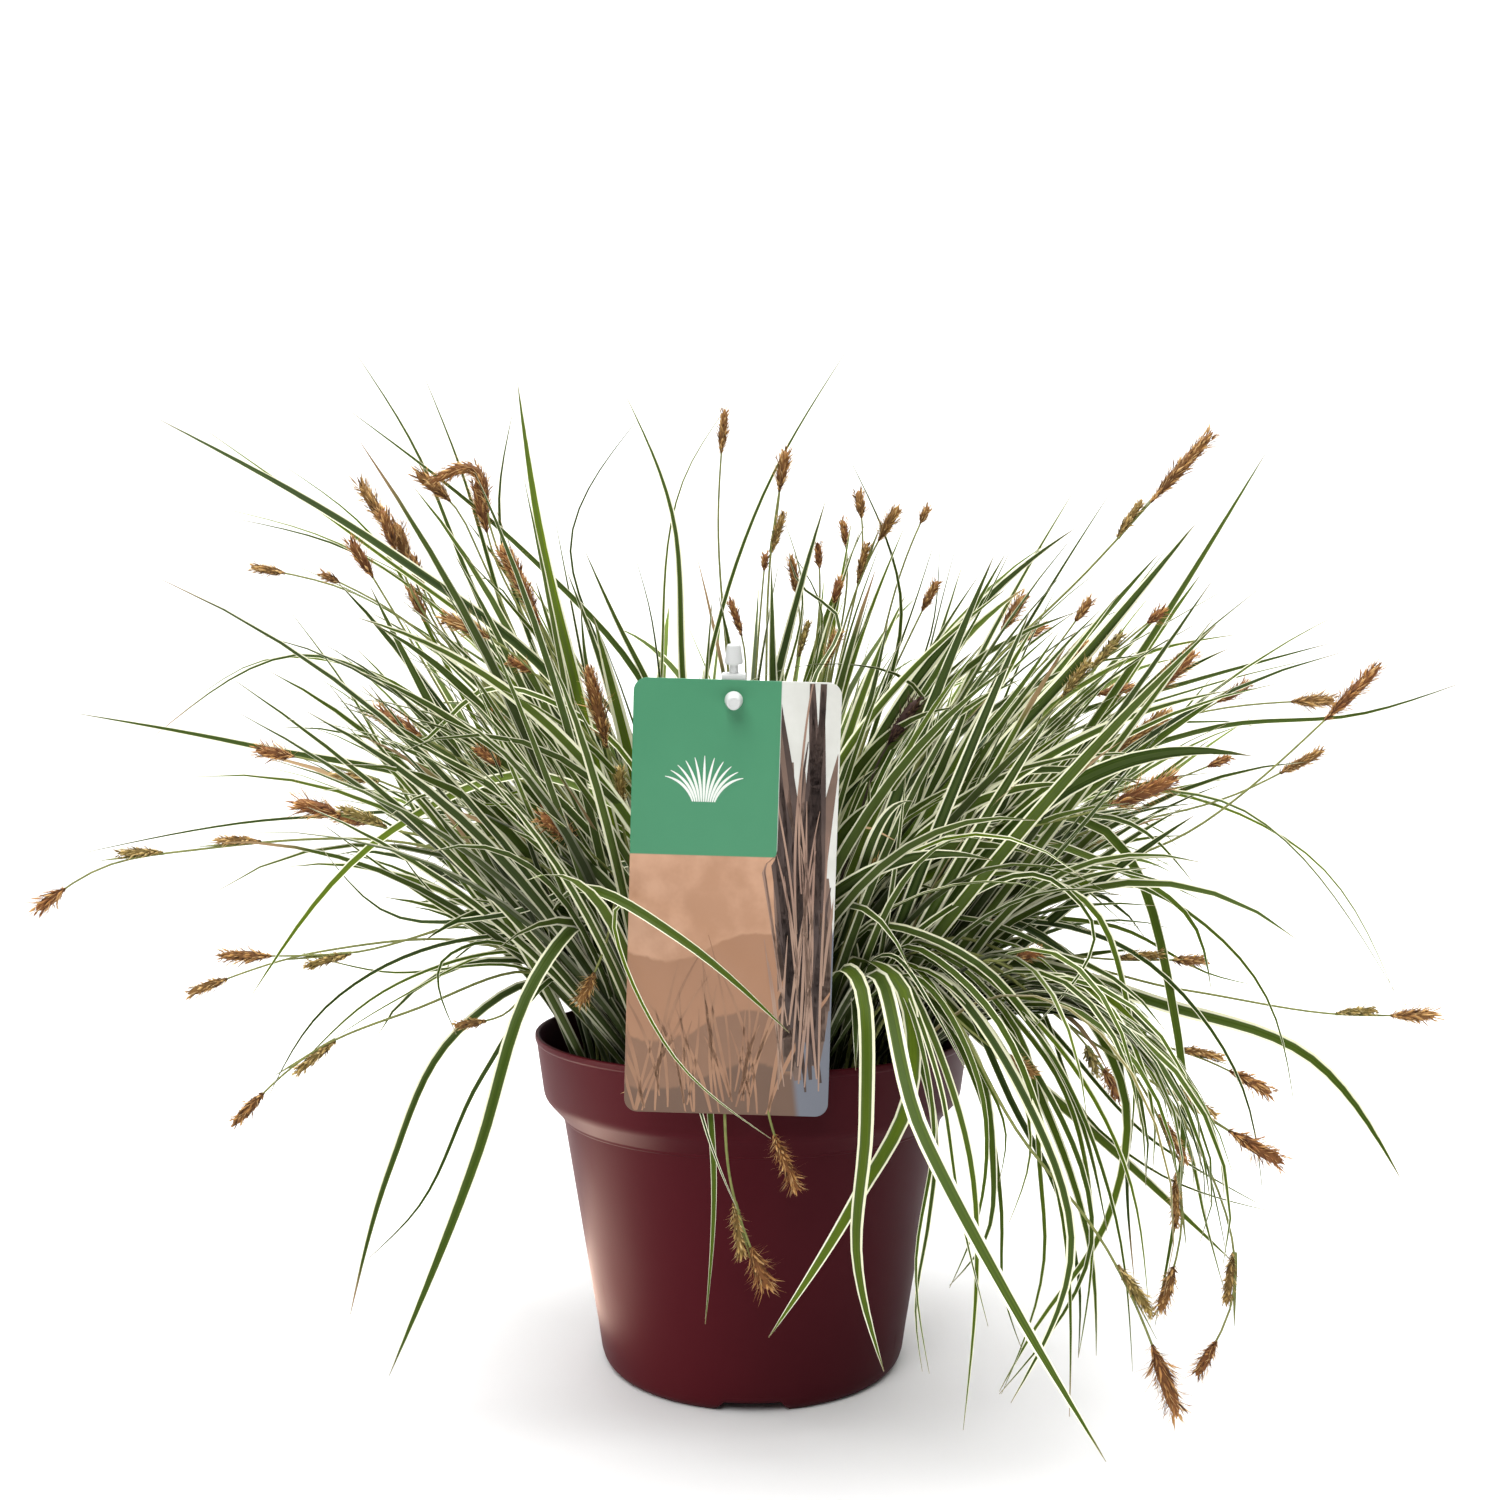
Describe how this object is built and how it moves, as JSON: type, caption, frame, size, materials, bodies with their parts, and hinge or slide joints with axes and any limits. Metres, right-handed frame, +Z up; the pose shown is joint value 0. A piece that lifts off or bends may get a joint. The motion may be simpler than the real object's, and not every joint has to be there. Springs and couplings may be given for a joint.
{
  "type": "potted sedge",
  "caption": "Clump of arching white-edged sedge in flower in a plain round burgundy nursery pot, with a hanging plant label on a pushed-in stake.",
  "frame": {"origin": "centre of the pot's foot, on the surface that it stands on", "axes": "+Z up along the pot's axis; +X to the right and +Y away from a viewer who faces the label"},
  "size_m": [0.6285, 0.466, 0.4518],
  "materials": {
    "leaf": "satin green with cream margins",
    "flower": "matte, scaly, rust brown to straw",
    "pot_plastic": "satin burgundy",
    "peat": "matte crumbly peat",
    "label_card": "satin printed plastic card",
    "stake_plastic": "satin grey-white"
  },
  "bodies": {
    "root": {"flower_stem_01": "flower", "flower_stem_02": "flower", "flower_stem_03": "flower", "flower_stem_04": "flower", "flower_stem_05": "flower", "flower_stem_06": "flower", "flower_stem_07": "flower", "flower_stem_08": "flower", "flower_stem_09": "flower", "flower_stem_10": "flower", "flower_stem_11": "flower", "flower_stem_12": "flower", "flower_stem_13": "flower", "flower_stem_14": "flower", "flower_stem_15": "flower", "flower_stem_16": "flower", "flower_stem_17": "flower", "flower_stem_18": "flower", "flower_stem_19": "flower", "flower_stem_20": "flower", "flower_stem_21": "flower", "flower_stem_22": "flower", "flower_stem_23": "flower", "flower_stem_24": "flower", "flower_stem_25": "flower", "flower_stem_26": "flower", "flower_stem_27": "flower", "flower_stem_28": "flower", "flower_stem_29": "flower", "flower_stem_30": "flower", "flower_stem_31": "flower", "flower_stem_32": "flower", "flower_stem_33": "flower", "label": "label_card", "label_stake": "stake_plastic", "leaf_tuft_01": "leaf", "leaf_tuft_02": "leaf", "leaf_tuft_03": "leaf", "leaf_tuft_04": "leaf", "leaf_tuft_05": "leaf", "leaf_tuft_06": "leaf", "leaf_tuft_07": "leaf", "leaf_tuft_08": "leaf", "leaf_tuft_09": "leaf", "leaf_tuft_10": "leaf", "leaf_tuft_11": "leaf", "leaf_tuft_12": "leaf", "leaf_tuft_13": "leaf", "leaf_tuft_14": "leaf", "leaf_tuft_15": "leaf", "leaf_tuft_16": "leaf", "pot": "pot_plastic", "soil": "peat"}
  },
  "joints": []
}
